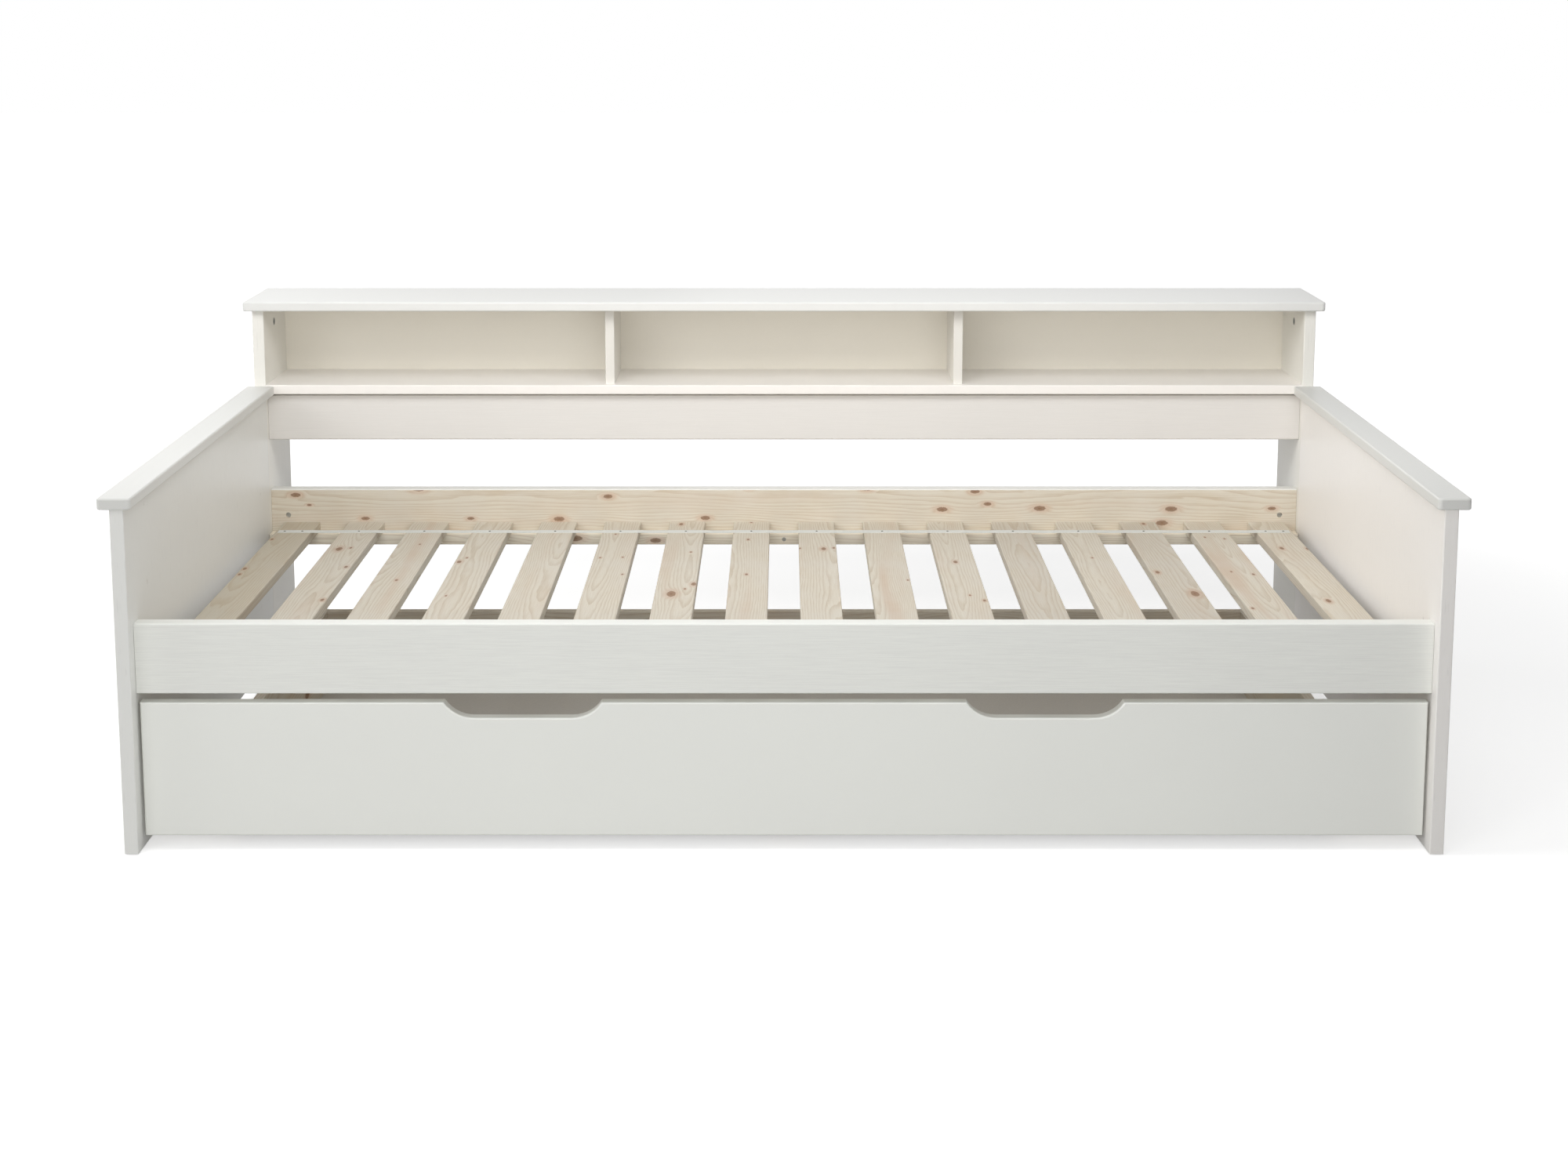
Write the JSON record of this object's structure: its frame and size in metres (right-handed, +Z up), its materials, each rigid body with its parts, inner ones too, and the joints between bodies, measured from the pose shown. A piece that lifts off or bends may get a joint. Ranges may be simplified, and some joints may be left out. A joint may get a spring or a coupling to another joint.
{
  "type": "storage daybed",
  "caption": "Single daybed with an open bookcase along its back, a slatted pine base and a wide under-bed drawer that rolls out at the front on its own wheels.",
  "frame": {"origin": "centre of the overall box, on the floor", "axes": "+X along the bed to the right seen from the front, +Y to the back, +Z up"},
  "size_m": [2.078, 1.146, 0.736],
  "materials": {
    "white_lacquered_board": "satin",
    "white_painted_pine": "satin",
    "bare_pine": "matte",
    "grey_hardboard": "matte",
    "white_webbing": "matte",
    "dark_steel": "satin",
    "zinc_plated_steel": "satin",
    "zinc_die_casting": "satin",
    "beech_dowel": "matte",
    "grey_plastic": "matte"
  },
  "bodies": {
    "frame": {"end_panel_left": "white_lacquered_board", "end_panel_right": "white_lacquered_board", "end_cap_left": "white_lacquered_board", "end_cap_right": "white_lacquered_board", "rear_side_left": "white_lacquered_board", "rear_side_right": "white_lacquered_board", "bookcase_top": "white_lacquered_board", "shelf_board": "white_lacquered_board", "shelf_back_panel": "white_lacquered_board", "shelf_divider_left": "white_lacquered_board", "shelf_divider_right": "white_lacquered_board", "front_rail": "white_painted_pine", "rear_lower_rail": "white_painted_pine", "rear_upper_rail": "white_painted_pine", "slat_01": "bare_pine", "slat_02": "bare_pine", "slat_03": "bare_pine", "slat_04": "bare_pine", "slat_05": "bare_pine", "slat_06": "bare_pine", "slat_07": "bare_pine", "slat_08": "bare_pine", "slat_09": "bare_pine", "slat_10": "bare_pine", "slat_11": "bare_pine", "slat_12": "bare_pine", "slat_13": "bare_pine", "slat_14": "bare_pine", "slat_15": "bare_pine", "slat_16": "bare_pine", "slat_batten_front": "bare_pine", "slat_batten_rear": "bare_pine", "slat_straps": "white_webbing", "strap_tacks": "dark_steel", "frame_bolts": "zinc_plated_steel", "barrel_nuts": "zinc_plated_steel", "cam_lock_bolts": "zinc_plated_steel", "batten_screws": "zinc_plated_steel", "back_panel_pins": "zinc_plated_steel", "cam_locks": "zinc_die_casting", "frame_dowels": "beech_dowel", "floor_glides": "grey_plastic"},
    "drawer": {"drawer_front": "white_lacquered_board", "drawer_bottom": "grey_hardboard", "drawer_side_left": "bare_pine", "drawer_side_right": "bare_pine", "drawer_back": "bare_pine", "drawer_stay": "bare_pine", "drawer_cam_locks": "zinc_die_casting", "drawer_cam_lock_bolts": "zinc_plated_steel", "drawer_screws": "zinc_plated_steel", "wheel_axles": "zinc_plated_steel", "wheel_bracket_front_left": "zinc_plated_steel", "wheel_bracket_front_right": "zinc_plated_steel", "wheel_bracket_rear_left": "zinc_plated_steel", "wheel_bracket_rear_right": "zinc_plated_steel"},
    "wheel_front_left": {"drawer_wheel_front_left": "grey_plastic"},
    "wheel_front_right": {"drawer_wheel_front_right": "grey_plastic"},
    "wheel_rear_left": {"drawer_wheel_rear_left": "grey_plastic"},
    "wheel_rear_right": {"drawer_wheel_rear_right": "grey_plastic"}
  },
  "joints": [
    {"name": "drawer_roll_out", "type": "slide", "parent": "frame", "child": "drawer", "axis": [0, -1, 0], "range_m": [0, 0.85]},
    {"name": "wheel_front_left_spin", "type": "hinge", "parent": "drawer", "child": "wheel_front_left", "pos_m": [-0.885, -0.42, 0.025], "axis": [1, 0, 0], "continuous": true},
    {"name": "wheel_front_right_spin", "type": "hinge", "parent": "drawer", "child": "wheel_front_right", "pos_m": [0.885, -0.42, 0.025], "axis": [1, 0, 0], "continuous": true},
    {"name": "wheel_rear_left_spin", "type": "hinge", "parent": "drawer", "child": "wheel_rear_left", "pos_m": [-0.885, 0.106, 0.025], "axis": [1, 0, 0], "continuous": true},
    {"name": "wheel_rear_right_spin", "type": "hinge", "parent": "drawer", "child": "wheel_rear_right", "pos_m": [0.885, 0.106, 0.025], "axis": [1, 0, 0], "continuous": true}
  ],
  "couplings": [
    {"joint": "wheel_front_left_spin", "follows": "drawer_roll_out", "rad_per_m": 40},
    {"joint": "wheel_front_right_spin", "follows": "drawer_roll_out", "rad_per_m": 40},
    {"joint": "wheel_rear_left_spin", "follows": "drawer_roll_out", "rad_per_m": 40},
    {"joint": "wheel_rear_right_spin", "follows": "drawer_roll_out", "rad_per_m": 40}
  ]
}
